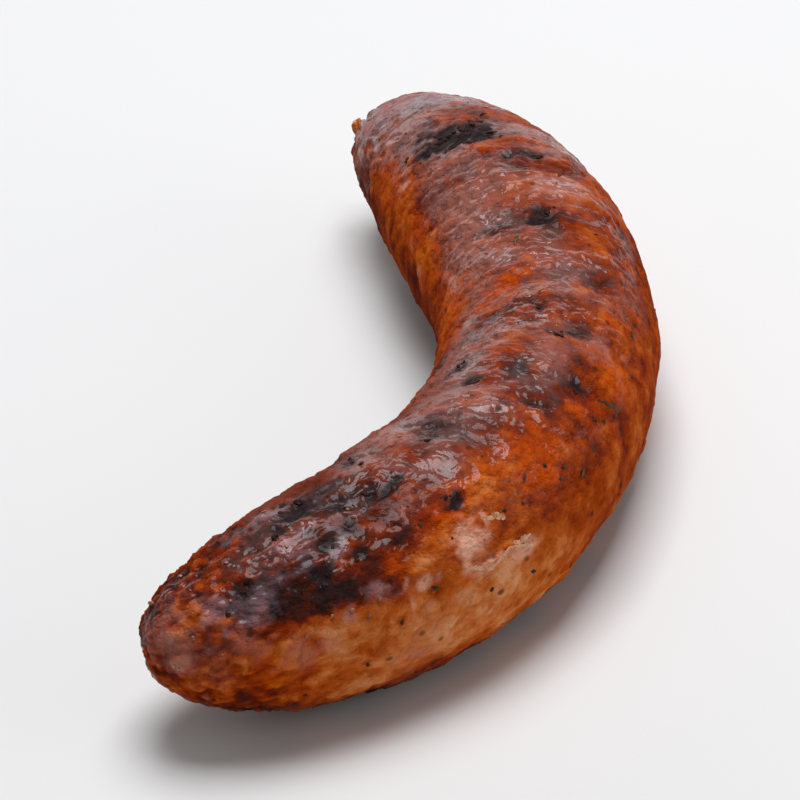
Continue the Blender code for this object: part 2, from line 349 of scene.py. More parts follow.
def browningAndShade(along, around, cloudy, speckled):
    # How far each place is browned: 0 pale casing, 1 nearly black. Both grilled faces are darkest. Some steps add
    # painted shade, as marked.
    degrees = np.degrees(around) % 360
    s = along / mm
    low = 58 - 32 * (1 - smooth(32, 46, s)) + 6 * smooth(85, 110, s)
    high = 143 + 6 * cloudy
    edge = 7 * speckled
    top = smooth(low - 10, low + 12, degrees + edge) * (1 - smooth(high - 8, high + 10, degrees + edge))
    under = smooth(205, 245, degrees) * (1 - smooth(300, 338, degrees))
    wrapped = np.where(degrees > 270, degrees - 360, degrees)
    flank = 0.25 + 0.24 * smooth(50, 66, s)
    flank += 0.17 * smooth(8, 22, wrapped) * smooth(28, 38, s) * (1 - 0.5 * smooth(52, 62, s))
    # The hollow side grows browner towards the underside: painted shade.
    hollowSide = 0.52 + 0.16 * smooth(155, 185, wrapped)
    sides = np.where(wrapped > 100, hollowSide, flank)
    grilled = 0.74 - 0.07 * smooth(36, 60, s) - 0.06 * smooth(85, 105, s) + 0.06 * smooth(148, 165, s)
    brownAndShade = sides + (grilled - sides) * np.maximum(top, under)
    front = 1 - smooth(12, 30, s)
    # At the blunt front end, the step from 80° round to the hollow side is partly real browning and partly painted
    # shade.
    blunt = 0.48 + 0.10 * smooth(35, 65, degrees) + 0.12 * smooth(80, 100, degrees) * (1 - smooth(150, 200, degrees))
    brownAndShade = brownAndShade + (blunt - brownAndShade) * front * (1 - top * smooth(8, 16, s))
    back = smooth(162, 180, s)
    brownAndShade = brownAndShade + (0.66 - brownAndShade) * back
    return np.clip(brownAndShade + 0.10 * cloudy + 0.08 * speckled, 0, 1)


def fattiness(along, around, cloudy, wet):
    # How wet with fat the casing is: the grilled faces shine, the flanks are nearly dull.
    degrees = np.degrees(around) % 360
    edge = 90 + 18 * smooth(30, 45, along / mm) + 26 * smooth(70, 110, along / mm)
    top = smooth(15, 60, degrees) * (1 - smooth(edge, edge + 20, degrees))
    under = smooth(205, 245, degrees) * (1 - smooth(300, 338, degrees))
    return np.clip(0.03 + 0.42 * np.maximum(top, under) * (1 + 1.3 * cloudy) + 0.8 * wet, 0.01, 1)


def underMarks():
    # The other grilled face, underneath: burnt spots in rows, each a little different.
    draw = random.Random(11)
    marks = []
    for bar in range(11):
        along = 12 + 15.5 * bar + draw.uniform(-2, 2)
        for spot in range(3):
            around = 232 + 36 * spot + draw.uniform(-12, 12)
            marks.append((along + draw.uniform(-4, 4), around, draw.uniform(5, 14), draw.uniform(3, 7),
                          -25 + draw.uniform(-20, 20), draw.uniform(0.45, 0.95)))
    return marks


def spreadEvenly(share):
    # Distances along that share out the outline of the sausage evenly, right over its blunt ends.
    finely = form["bodyLength"] * (1 - np.cos(np.linspace(0, math.pi, 4000))) / 2
    walked = np.concatenate([[0], np.cumsum(np.hypot(np.diff(finely), np.diff(bodyRadius(finely))))])
    return np.interp(share * walked[-1], walked, finely)


def buildSkin():
    bm = bmesh.new()
    bmesh.ops.create_uvsphere(bm, u_segments=skin["sides"], v_segments=skin["rings"], radius=1)
    mesh = bpy.data.meshes.new("sausageSkin")
    bm.to_mesh(mesh)
    bm.free()
    ball = np.empty(len(mesh.vertices) * 3)
    mesh.vertices.foreach_get("co", ball)
    ball = ball.reshape(-1, 3)
    share = np.arccos(np.clip(-ball[:, 2], -1, 1)) / math.pi
    along = spreadEvenly(share)
    around = np.arctan2(-ball[:, 1], ball[:, 0])
    straight = straightPlace(along, around, bodyRadius(along))
    plain = placeOnSkin(along, around)

    print("  noise over", len(straight), "points")
    cloudy = fractalAt(straight, 14 * mm, 4, 1)
    speckled = fractalAt(straight, 3.2 * mm, 4, 2)
    lump = fractalAt(straight, skin["lumpSize"], 2, 3)
    bulge = fractalAt(straight, skin["bulgeSize"], 2, 9)
    grains, grainTint = granulesAt(straight, skin["grainSize"], 4)
    crumbs, crumbTint = granulesAt(straight, skin["crumbSize"], 12)
    across, lengthwise = acrossBars(plain, grill["heading"])
    wrinklePlace = np.stack([across, lengthwise / skin["wrinkleStretch"], plain[:, 2]], axis=-1)
    wrinkle = fractalAt(wrinklePlace, skin["wrinkleSize"], 3, 5)
    fine = fractalAt(straight, skin["fineSize"], 2, 6)
    wander = 0.75 * fractalAt(straight, 2.4 * mm, 4, 7)
    patchy = fractalAt(straight, 12 * mm, 2, 8)
    blotchy = fractalAt(straight, 5.5 * mm, 2, 13)

    granular = 1 - smooth(8 * mm, 32 * mm, along)
    char = markStrength(charMarks + underMarks(), along, around, wander)
    markedAmber = markStrength(amberMarks, along, around, wander)
    amber = np.maximum(markedAmber, 0.30 * (1 - smooth(16 * mm, 28 * mm, along)))
    # Pale casing and painted highlights; the pale tops of some front granules are partly painted highlights.
    paleAndGlint = markStrength(paleAndGlintMarks, along, around, wander)
    paleAndGlint = np.maximum(paleAndGlint, 0.45 * granular * smooth(0.35, 0.8, grainTint) * grains)
    wet = markStrength(wetMarks, along, around, wander)
    sheenFree = markStrength(sheenFreeMarks, along, around, wander)
    degrees = np.degrees(around) % 360
    top = smooth(48, 75, degrees + 6 * speckled) * (1 - smooth(132, 150, degrees + 6 * speckled))
    # Painted sheen over the top face and in the listed patches.
    paintedSheen = np.maximum(markStrength(paintedSheenMarks, along, around, wander), skin["plainPaintedSheen"] * top * (1 + cloudy) * (0.6 + 0.4 * smooth(34 * mm, 50 * mm, along)) * smooth(8 * mm, 16 * mm, along))
    paintedSheen = paintedSheen * (1 - sheenFree)
    # Painted reflections in the listed patches.
    paintedReflection = markStrength(paintedReflectionMarks, along, around, wander)
    folds = markStrength(foldMarks, along, around, 0.6 * wander)
    brownAndShade = browningAndShade(along, around, cloudy, speckled) - 0.15 * markedAmber
    brownAndShade += 0.10 * blotchy + (0.03 + 0.11 * granular) * grainTint + (0.02 + 0.06 * granular) * crumbTint
    # Painted shade: darker in the crevices between granules and lighter on their tops.
    brownAndShade -= (0.04 + 0.10 * granular) * (grains - 0.5)
    fatty = fattiness(along, around, cloudy, wet)

    # The bars of the grill, on the top face and again underneath at another slant.
    height = plain[:, 2]
    pressedTop = smooth(grill["contact"], grill["contact"] + 5 * mm, height) * (1 - 0.85 * smooth(-0.2, 0.3, patchy))
    pressedUnder = 1 - smooth(3 * mm, 9 * mm, height)
    bars = np.maximum(
        barShare(plain, grill["heading"], grill["first"], pressedTop, wander),
        barShare(plain, grill["undersideHeading"], grill["undersideFirst"], pressedUnder, wander))

    # Ridged wrinkles where the casing shrank, soft grains where it stayed tight.
    ridges = (1 - np.clip(np.abs(wrinkle) * 2.4, 0, 1)) ** 1.5
    shrunk = smooth(-0.5, 0.3, patchy) * smooth(0.35, 0.62, brownAndShade) * (1 - 0.55 * smooth(95 * mm, 120 * mm, along))
    front = 1 - smooth(10 * mm, 34 * mm, along)
    even = 1 - 0.6 * np.clip(wet, 0, 1)
    relief = skin["lumpHeight"] * lump + skin["bulgeHeight"] * bulge
    relief += skin["grainHeight"] * (grains - 0.5) * (0.6 + 1.8 * front)
    relief += skin["crumbHeight"] * (crumbs - 0.5) * (0.2 + 1.4 * front) * even
    # The skin rises a little under the painted sheen and painted reflections.
    relief += skin["paintedSheenLift"] * np.maximum(paintedSheen, paintedReflection)
    relief += skin["wrinkleHeight"] * (ridges - 0.35) * (0.12 + 0.88 * shrunk) * even
    relief += skin["fineHeight"] * fine * (0.6 + 0.8 * smooth(0.3, 0.6, brownAndShade)) * even
    relief += skin["foldHeight"] * folds
    relief -= skin["markDepth"] * smooth(0.2, 0.9, char)
    relief -= grill["depth"] * bars
    tip = np.minimum(along, form["bodyLength"] - along)
    pucker = np.exp(-(tip / skin["puckerReach"]) ** 2)
    tucks = np.sin(skin["puckerFolds"] * around + 2.5 * cloudy)
    opened = smooth(0, 0.3, bodyRadius(along) / (form["thickness"] / 2))
    tied = smooth(0.5, 0.6, along / form["bodyLength"])
    relief += skin["puckerHeight"] * tucks * pucker * opened * (0.35 + 0.65 * tied)

    places = placeOnSkin(along, around, relief)
    mesh.vertices.foreach_set("co", places.astype(np.float32).ravel())
    # One attribute holds how far each place is sunk below the plain skin, for painted shade in the finish.
    for name, values in (("brownAndShade", brownAndShade), ("char", char), ("amber", amber), ("paleAndGlint", paleAndGlint), ("bars", bars),
                         ("hollowShade", -relief / mm), ("fatty", fatty), ("paintedSheen", paintedSheen),
                         ("paintedReflection", paintedReflection)):
        layer = mesh.attributes.new(name, "FLOAT", "POINT")
        layer.data.foreach_set("value", values.astype(np.float32))
    layer = mesh.attributes.new("straight", "FLOAT_VECTOR", "POINT")
    layer.data.foreach_set("vector", straight.astype(np.float32).ravel())
    addUnrolledMap(mesh, share, around)
    mesh.shade_smooth()
    piece = bpy.data.objects.new("sausageSkin", mesh)
    scene.collection.objects.link(piece)
    return piece


def addUnrolledMap(mesh, share, around):
    # A map of the skin rolled out flat, with its seam along the underside.
    layer = mesh.uv_layers.new(name="OFBake")
    corners = np.empty(len(mesh.loops), dtype=np.int32)
    mesh.loops.foreach_get("vertex_index", corners)
    starts = np.empty(len(mesh.polygons), dtype=np.int32)
    counts = np.empty(len(mesh.polygons), dtype=np.int32)
    mesh.polygons.foreach_get("loop_start", starts)
    mesh.polygons.foreach_get("loop_total", counts)
    turn = ((around + math.pi / 2) / (2 * math.pi)) % 1
    faceOf = np.repeat(np.arange(len(starts)), counts)
    order = np.concatenate([np.arange(a, a + n) for a, n in zip(starts, counts)])
    v = np.empty(len(corners))
    v[order] = turn[corners[order]]
    highest = np.zeros(len(starts))
    lowest = np.ones(len(starts))
    tipCorner = np.isclose(share[corners], 0, atol=1e-4) | np.isclose(share[corners], 1, atol=1e-4)
    plainCorner = order[~tipCorner[order]]
    plainFace = faceOf[~tipCorner[order]]
    np.maximum.at(highest, plainFace, v[plainCorner])
    np.minimum.at(lowest, plainFace, v[plainCorner])
    crossing = highest - lowest > 0.5
    wraps = crossing[faceOf] & (v[order] < 0.5)
    v[order[wraps]] += 1
    # A tip's corner takes the middle of its face.
    faceMiddle = np.where(crossing, (highest + lowest + 1) / 2, (highest + lowest) / 2)
    tips = tipCorner[order]
    v[order[tips]] = faceMiddle[faceOf[tips]]
    spots = np.stack([0.01 + 0.98 * share[corners], 0.01 + 0.97 * np.minimum(v, 1.01)], axis=-1)
    layer.data.foreach_set("uv", spots.astype(np.float32).ravel())


# ---- finishes

def addNode(tree, kind, settings=None, inputs=None):
    node = tree.nodes.new(kind)
    for name, value in (settings or {}).items():
        setattr(node, name, value)
    for name, value in (inputs or {}).items():
        if isinstance(value, bpy.types.NodeSocket):
            tree.links.new(value, node.inputs[name])
        else:
            node.inputs[name].default_value = value
    return node


def maths(tree, operation, first, second=0.5, third=0.0, clamp=False):
    node = addNode(tree, "ShaderNodeMath", {"operation": operation, "use_clamp": clamp})
    for socket, value in zip(node.inputs, (first, second, third)):
        if isinstance(value, bpy.types.NodeSocket):
            tree.links.new(value, socket)
        else:
            socket.default_value = value
    return node.outputs[0]


def mixColour(tree, share, first, second, blend="MIX"):
    node = addNode(tree, "ShaderNodeMix", {"data_type": "RGBA", "blend_type": blend})
    for socket, value in ((node.inputs[0], share), (node.inputs[6], first), (node.inputs[7], second)):
        if isinstance(value, bpy.types.NodeSocket):
            tree.links.new(value, socket)
        else:
            socket.default_value = value
    return node.outputs[2]


def ramp(tree, share, stops, blend="LINEAR"):
    node = addNode(tree, "ShaderNodeValToRGB", None, {"Fac": share})
    node.color_ramp.interpolation = blend
    elements = node.color_ramp.elements
    while len(elements) < len(stops):
        elements.new(0.5)
    for element, (position, colour) in zip(elements, stops):
        element.position = position
        element.color = colour if len(colour) == 4 else (*colour, 1)
    return node.outputs[0]


def step(tree, value, low, high):
    node = addNode(tree, "ShaderNodeMapRange", {"interpolation_type": "SMOOTHSTEP"},
                   {"Value": value, "From Min": low, "From Max": high})
    return node.outputs[0]


def cloud(tree, place, scale, detail=4.0, roughness=0.6, distortion=0.0):
    node = addNode(tree, "ShaderNodeTexNoise", None, {
        "Vector": place, "Scale": scale, "Detail": detail, "Roughness": roughness, "Distortion": distortion})
    return node.outputs[0]


def attribute(tree, name):
    return addNode(tree, "ShaderNodeAttribute", {"attribute_name": name})


def newMaterial(name):
    material = bpy.data.materials.new(name)
    material.use_nodes = True
    return material, material.node_tree, material.node_tree.nodes["Principled BSDF"]


def skinFinish():
    material, tree, shader = newMaterial("grilledCasing")
    place = attribute(tree, "straight").outputs["Vector"]
    brownAndShade = attribute(tree, "brownAndShade").outputs["Fac"]
    char = attribute(tree, "char").outputs["Fac"]
    amber = attribute(tree, "amber").outputs["Fac"]
    paleAndGlint = attribute(tree, "paleAndGlint").outputs["Fac"]
    bars = attribute(tree, "bars").outputs["Fac"]
    hollowShade = attribute(tree, "hollowShade").outputs["Fac"]
    fatty = attribute(tree, "fatty").outputs["Fac"]
    paintedSheen = attribute(tree, "paintedSheen").outputs["Fac"]
    paintedReflection = attribute(tree, "paintedReflection").outputs["Fac"]

    # Fine streaks follow the bars of the grill: turned to them and drawn out along them.
    world = addNode(tree, "ShaderNodeTexCoord").outputs["Object"]
    turned = addNode(tree, "ShaderNodeMapping", {"vector_type": "TEXTURE"},
                     {"Vector": world, "Rotation": (0, 0, math.radians(grill["heading"] + 90)),
                      "Scale": (1, 3.2, 1.3)}).outputs[0]
    streaks = cloud(tree, turned, 480, 3, 0.55)
    broad = cloud(tree, place, 110, 3, 0.6)
    medium = cloud(tree, place, 380, 3, 0.6)
    small = cloud(tree, place, 1300, 2, 0.6)
    grains = addNode(tree, "ShaderNodeTexVoronoi", {"feature": "SMOOTH_F1"},
                     {"Vector": place, "Scale": 560.0, "Smoothness": 0.35})
    grainTone = addNode(tree, "ShaderNodeSeparateColor", None, {"Color": grains.outputs["Color"]}).outputs[0]

    # Browning: broad clouds, streaks and grains shift the tone either way.
    wobble = maths(tree, "MULTIPLY_ADD", broad, 0.6, -0.3)
    wobble = maths(tree, "ADD", wobble, maths(tree, "MULTIPLY_ADD", medium, 0.5, -0.25))
    wobble = maths(tree, "ADD", wobble, maths(tree, "MULTIPLY_ADD", streaks, 0.28, -0.14))
    wobble = maths(tree, "ADD", wobble, maths(tree, "MULTIPLY_ADD", small, 0.2, -0.10))
    wobble = maths(tree, "ADD", wobble, maths(tree, "MULTIPLY_ADD", grainTone, 0.10, -0.05))
    calm = addNode(tree, "ShaderNodeMapRange", None, {
        "Value": brownAndShade, "From Min": 0.3, "From Max": 0.65, "To Min": 0.9, "To Max": 0.62}).outputs[0]
    tone = maths(tree, "MULTIPLY_ADD", wobble, calm, brownAndShade)
    # Painted shade: darker where the skin is sunk, lighter where it is raised.
    tone = maths(tree, "MULTIPLY_ADD", hollowShade, 0.25, tone)
    tone = maths(tree, "MULTIPLY_ADD", bars, 0.08, tone)
    tone = maths(tree, "MULTIPLY_ADD", char, 0.34, tone)
    toned = ramp(tree, tone, (
        (0.05, (0.72, 0.31, 0.14)),
        (0.22, (0.62, 0.185, 0.048)),
        (0.38, (0.48, 0.092, 0.010)),
        (0.54, (0.33, 0.045, 0.003)),
        (0.70, (0.175, 0.019, 0.003)),
        (0.86, (0.075, 0.012, 0.006)),
        (1.00, (0.030, 0.012, 0.011)),
    ))
    amberTone = ramp(tree, tone, (
        (0.20, (0.58, 0.110, 0.003)),
        (0.45, (0.46, 0.056, 0.001)),
        (0.75, (0.23, 0.020, 0.001)),
        (1.00, (0.07, 0.012, 0.004)),
    ))
    amberShare = step(tree, maths(tree, "ADD", amber, wobble), 0.1, 0.75)
    ambered = mixColour(tree, maths(tree, "MULTIPLY", amberShare, 0.9), toned, amberTone)
    # Pale casing and painted highlights share one pale colour.
    paleAndGlintShare = step(tree, maths(tree, "MULTIPLY_ADD", wobble, 0.8, paleAndGlint), 0.10, 1.0)
    withPaleAndGlint = mixColour(tree, maths(tree, "MULTIPLY", paleAndGlintShare, 0.9), ambered, (0.76, 0.39, 0.27, 1))

    # Painted sheen: pinkish colour standing in for the lamps' soft reflection on the casing.
    paintedSheenShare = step(tree, maths(tree, "MULTIPLY_ADD", wobble, 0.6, paintedSheen), 0.02, 1.1)
    withPaintedSheen = mixColour(tree, maths(tree, "MULTIPLY", paintedSheenShare, 0.55), withPaleAndGlint, (0.40, 0.19, 0.16, 1))
    # Painted reflections: lavender colour standing in for glints of the lamps.
    paintedReflectionShare = step(tree, maths(tree, "MULTIPLY_ADD", wobble, 0.8, paintedReflection), 0.1, 1.1)
    withPaintedSheen = mixColour(tree, maths(tree, "MULTIPLY", paintedReflectionShare, 0.5), withPaintedSheen, (0.30, 0.19, 0.215, 1))

    charWobble = maths(tree, "MULTIPLY_ADD", medium, 1.1, -0.55)
    charWobble = maths(tree, "ADD", charWobble, maths(tree, "MULTIPLY_ADD", small, 0.6, -0.3))
    charWobble = maths(tree, "ADD", charWobble, maths(tree, "MULTIPLY_ADD", grainTone, 0.3, -0.15))
    charShare = step(tree, maths(tree, "ADD", char, charWobble), 0.25, 1.05)
    charred = mixColour(tree, maths(tree, "MULTIPLY", charShare, 0.95), withPaintedSheen, (0.022, 0.015, 0.016, 1))

    # Ground pepper and scorched grains show as scattered dark specks.
    dots = addNode(tree, "ShaderNodeTexVoronoi", None, {"Vector": place, "Scale": 420.0, "Randomness": 1.0})
    dotSize = maths(tree, "SUBTRACT", 1, step(tree, dots.outputs["Distance"], 0.10, 0.32))
    chosen = addNode(tree, "ShaderNodeSeparateColor", None, {"Color": dots.outputs["Color"]})
    speck = maths(tree, "MULTIPLY", dotSize, maths(tree, "GREATER_THAN", chosen.outputs[0], 0.82))
    specked = mixColour(tree, maths(tree, "MULTIPLY", speck, 0.7), charred, (0.035, 0.016, 0.010, 1))
    tree.links.new(specked, shader.inputs["Base Color"])

    gloss = maths(tree, "MULTIPLY_ADD", medium, 0.30, 0.50)
    gloss = maths(tree, "MULTIPLY_ADD", fatty, -0.25, gloss)
    tree.links.new(gloss, shader.inputs["Roughness"])
    shader.inputs["IOR"].default_value = 1.45
    shader.inputs["Specular IOR Level"].default_value = 0.0
    smears = maths(tree, "MULTIPLY_ADD", step(tree, broad, 0.40, 0.60), 0.75, 0.55)
    dulled = maths(tree, "MULTIPLY", fatty, maths(tree, "MULTIPLY_ADD", charShare, -0.88, 1.0))
    dulled = maths(tree, "MULTIPLY", dulled, smears, clamp=True)
    tree.links.new(dulled, shader.inputs["Coat Weight"])
    shader.inputs["Coat Roughness"].default_value = 0.17
    shader.inputs["Coat IOR"].default_value = 1.45
    shader.inputs["Subsurface Weight"].default_value = 0.06
    shader.inputs["Subsurface Radius"].default_value = (1.0, 0.35, 0.15)
    shader.inputs["Subsurface Scale"].default_value = 0.0015

    height = maths(tree, "MULTIPLY_ADD", small, 0.5, medium)
    height = maths(tree, "MULTIPLY_ADD", streaks, 0.35, height)
    height = maths(tree, "MULTIPLY_ADD", grains.outputs["Distance"], -0.6, height)
    bump = addNode(tree, "ShaderNodeBump", None, {"Height": height, "Strength": 1.0, "Distance": 0.0010})
    tree.links.new(bump.outputs[0], shader.inputs["Normal"])
    # The fat lies smoother than the casing under it.
    film = cloud(tree, place, 340, 2, 0.45, 0.5)
    filmBump = addNode(tree, "ShaderNodeBump", None, {"Height": film, "Strength": 1.0, "Distance": 0.0008})
    tree.links.new(filmBump.outputs[0], shader.inputs["Coat Normal"])
    return material


# Finish of the small bits: two mottled colours and a fine bump, the same way for all of them.
def mottlingGroup():
    group = bpy.data.node_groups.new("mottling", "ShaderNodeTree")
    for name, kind in (("Place", "NodeSocketVector"), ("Scale", "NodeSocketFloat"),
                       ("Dark", "NodeSocketColor"), ("Light", "NodeSocketColor")):
        group.interface.new_socket(name, in_out="INPUT", socket_type=kind)
    group.interface.new_socket("Color", in_out="OUTPUT", socket_type="NodeSocketColor")
    group.interface.new_socket("Height", in_out="OUTPUT", socket_type="NodeSocketFloat")
    given = addNode(group, "NodeGroupInput")
    coarse = cloud(group, given.outputs["Place"], given.outputs["Scale"], 3)
    fine = cloud(group, given.outputs["Place"], maths(group, "MULTIPLY", given.outputs["Scale"], 3.1), 2)
    share = step(group, maths(group, "MULTIPLY_ADD", fine, 0.4, coarse), 0.45, 0.95)
    colour = mixColour(group, share, given.outputs["Dark"], given.outputs["Light"])
    addNode(group, "NodeGroupOutput", None, {"Color": colour, "Height": maths(group, "ADD", coarse, fine)})
    return group


def bitFinish(name, dark, light, scale, roughness, coat, relief):
    material, tree, shader = newMaterial(name)
    place = addNode(tree, "ShaderNodeTexCoord").outputs["Object"]
    mottled = addNode(tree, "ShaderNodeGroup", {"node_tree": mottling}, {
        "Place": place, "Scale": scale, "Dark": (*dark, 1), "Light": (*light, 1)})
    tree.links.new(mottled.outputs["Color"], shader.inputs["Base Color"])
    shader.inputs["Roughness"].default_value = roughness
    shader.inputs["Specular IOR Level"].default_value = 0.1
    shader.inputs["Coat Weight"].default_value = coat
    shader.inputs["Coat Roughness"].default_value = 0.12
    bump = addNode(tree, "ShaderNodeBump", None, {"Height": mottled.outputs["Height"], "Distance": relief})
    tree.links.new(bump.outputs[0], shader.inputs["Normal"])
    return material


# ---- small bits on the skin

clearOfRest = 0.8 * mm       # bits lie at least this far over what the sausage rests on

def skinFrame(along, around):
    # The finished skin at a distance along in mm and an angle around in degrees: X along it, Z outward.
    here, ahead = placeOnSkin(np.array([along, along + 1]) * mm, np.radians([around, around]), 1 * mm)
    _, spot, outward, _ = sausageSkin.closest_point_on_mesh(Vector(here))
    side = outward.cross(Vector(ahead - here)).normalized()
    return Matrix.Translation(spot) @ Matrix((side.cross(outward), side, outward)).transposed().to_4x4()


def addBit(bm, along, around, size, draw, look):
    # One uneven lump lying on the skin. None is laid where the sausage rests.
    shift = Vector([draw.uniform(0, 50) for _ in range(3)])
    stretch = draw.uniform(1, look["stretch"])
    turn = draw.uniform(0, math.pi)
    place = skinFrame(along, around)
    if place.translation.z < clearOfRest:
        return
    made = bmesh.ops.create_icosphere(bm, subdivisions=look["rounds"], radius=0.5)["verts"]
    for vertex in made:
        vertex.co *= 1 + look["rough"] * noise.noise(vertex.co * look["knobs"] + shift)
    place = place @ Matrix.Translation((0, 0, size * look["flat"] * (0.5 - look["sink"])))
    place = place @ Matrix.Rotation(turn, 4, "Z") @ Matrix.Diagonal((size * stretch, size, size * look["flat"], 1))
    bmesh.ops.transform(bm, matrix=place, verts=made)


def faceOutward(bm):
    # Turns the faces of each closed lump to look out of it.
    bmesh.ops.recalc_face_normals(bm, faces=bm.faces[:])
    bm.normal_update()
    for face in bm.faces:
        face.tag = False
    for first in bm.faces[:]:
        if first.tag:
            continue
        first.tag = True
        lump = [first]
        for face in lump:
            for near in [other for edge in face.edges for other in edge.link_faces if not other.tag]:
                if not near.tag:
                    near.tag = True
                    lump.append(near)
        core = first.verts[0].co.copy()
        held = sum(face.calc_area() * face.normal.dot(face.calc_center_median() - core) for face in lump)
        if held < 0:
            bmesh.ops.reverse_faces(bm, faces=lump)


def finishPiece(bm, name, material):
    faceOutward(bm)
    mesh = bpy.data.meshes.new(name)
    bm.to_mesh(mesh)
    bm.free()
    mesh.shade_smooth()
    mesh.materials.append(material)
    piece = bpy.data.objects.new(name, mesh)
    scene.collection.objects.link(piece)
    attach(piece, "root")
    print(" ", name, len(mesh.polygons), "faces")
    return piece


# Coarse pepper pressed into the casing: the bold grains by place, smaller ones scattered.
pepper = {
    "bold": ((62.5, 30), (64, 33), (61.5, 40), (75, 36), (52, 35), (55, 33), (46, 3), (53, -2), (36, -38),
             (40.5, 52), (89, 25), (28, -12), (33, 8), (20, -28)),
    "boldSize": 0.62 * mm,
    "scattered": 70,
    "smallSize": (0.2 * mm, 0.4 * mm),
    "look": {"rounds": 2, "rough": 0.9, "knobs": 3.4, "stretch": 1.6, "flat": 0.5, "sink": 0.36},
}


def addPepper():
    draw = random.Random(21)
    bm = bmesh.new()
    for along, around in pepper["bold"]:
        addBit(bm, along, around, pepper["boldSize"] * draw.uniform(0.8, 1.2), draw, pepper["look"])
    for _ in range(pepper["scattered"]):
        addBit(bm, draw.uniform(8, 175), draw.uniform(0, 360), draw.uniform(*pepper["smallSize"]), draw, pepper["look"])
    finishPiece(bm, "pepperGrains", bitFinish("pepper", (0.012, 0.008, 0.006), (0.075, 0.035, 0.018), 1500, 0.6, 0.15, 0.0001))


# Burnt crumbs of filling and fat stuck on the scorched spots.
crumb = {
    "perMark": 4,
    "size": (0.3 * mm, 1.0 * mm),
    "look": {"rounds": 3, "rough": 1.1, "knobs": 4.0, "stretch": 2.0, "flat": 0.32, "sink": 0.44},
}


def addCrumbs():
    draw = random.Random(31)
    bm = bmesh.new()
    for along, around, length, width, _, strength in charMarks:
        for _ in range(round(crumb["perMark"] * strength ** 3)):
            s = along + draw.gauss(0, 0.28 * width)
            addBit(bm, s, around + draw.gauss(0, 0.28 * length) * 3.2, draw.uniform(*crumb["size"]), draw, crumb["look"])
    finishPiece(bm, "burntCrumbs", bitFinish("burntCrumb", (0.010, 0.006, 0.007), (0.060, 0.018, 0.012), 1300, 0.6, 0.05, 0.0002))


# Beads of fat and juice that ran out and set.
bead = {
    "perMark": 2.5,
    "size": (0.25 * mm, 0.6 * mm),
    "more": ((3, 118), (2.5, 96), (5, 8), (8, 100), (7, 35), (10, 20)),
    "look": {"rounds": 2, "rough": 0.3, "knobs": 1.8, "stretch": 2.0, "flat": 0.45, "sink": 0.25},
}


def addBeads():
    draw = random.Random(41)
    bm = bmesh.new()
    for along, around in bead["more"]:
        addBit(bm, along, around, draw.uniform(0.5, 0.8) * mm, draw, bead["look"])
    for along, around, length, width, _, strength in wetMarks:
        for _ in range(round(bead["perMark"] * strength)):
            s = along + draw.gauss(0, 0.35 * width)
            addBit(bm, s, around + draw.gauss(0, 0.35 * length) * 3.2, draw.uniform(*bead["size"]), draw, bead["look"])
    finishPiece(bm, "fatBeads", bitFinish("fatBead", (0.14, 0.030, 0.010), (0.44, 0.16, 0.075), 700, 0.25, 0.9, 0.0001))


def layStrip(bm, stops, strip, draw):
    # A thin strip laid over the skin through stops of (along mm, around deg), one edge lifting off in waves.
    grid = bmesh.ops.create_grid(bm, x_segments=strip["steps"], y_segments=strip["ribs"], size=1)["verts"]
    alongStops, aroundStops = np.array(stops, dtype=float).T
    marks = np.linspace(0, 1, len(stops))
    shift = Vector([draw.uniform(0, 50) for _ in range(3)])
    for vertex in grid:
        part, across = (vertex.co.x + 1) / 2, vertex.co.y
        s, v = np.interp(part, marks, alongStops), np.interp(part, marks, aroundStops)
        nextS, nextV = np.interp([part + 0.02, part - 0.02], marks, alongStops), np.interp(
            [part + 0.02, part - 0.02], marks, aroundStops)
        way = Vector((nextS[0] - nextS[1], (nextV[0] - nextV[1]) * 0.31, 0)).normalized()
        sideways = Vector((-way.y, way.x, 0))
        ragged = noise.noise(Vector((part * strip["waves"], across * 0.8, 0)) + shift)
        half = strip["width"] / 2 * (math.sin(math.pi * min(max(part, 0.02), 0.98)) ** 0.5) * (1 + 0.5 * ragged)
        lifted = strip["lift"] * (across / 2 + 0.5) ** 1.5 * (1 + 1.2 * ragged) * math.sin(math.pi * part)
        vertex.co = skinFrame(s, v) @ (sideways * across * half + Vector((0, 0, strip["rest"] + max(lifted, 0))))
    faces = list({face for vertex in grid for face in vertex.link_faces})
    bmesh.ops.solidify(bm, geom=faces, thickness=strip["thickness"])


# Casing that split and peeled back into a pale raised edge on the outer flank.
peel = {
    "runs": (((43, 22), (44.5, 18.5), (46, 16), (48, 16.5), (50, 18), (52, 15), (54, 12)),
             ((48.5, 39), (50.5, 36), (51.5, 31)),
             ((51, 20), (52.5, 19), (54, 17))),
    "strip": {"steps": 46, "ribs": 6, "width": 1.0 * mm, "lift": 0.45 * mm, "rest": 0.0 * mm,
              "waves": 9.0, "thickness": 0.14 * mm},
}


def addPeeledCasing():
    draw = random.Random(51)
    bm = bmesh.new()
    for run in peel["runs"]:
        layStrip(bm, run, peel["strip"], draw)
    finishPiece(bm, "peeledCasing", bitFinish("peeledCasing", (0.50, 0.17, 0.06), (0.80, 0.46, 0.27), 900, 0.4, 0.4, 0.0002))


# Flecks of leaf herb from the filling.
herb = {
    "blades": (((78.7, 41), (79.4, 33), (80.3, 24)), ((79, 34), (80.5, 31)), ((113, 103), (115, 100)), ((38, 20), (39, 16)),
               ((66, 22), (67.5, 24)), ((96, 30), (97, 35)), ((57, 40), (58, 43)), ((130, 70), (132, 66))),
    "strip": {"steps": 24, "ribs": 4, "width": 0.6 * mm, "lift": 0.12 * mm, "rest": 0.03 * mm,
              "waves": 1.6, "thickness": 0.10 * mm},
}


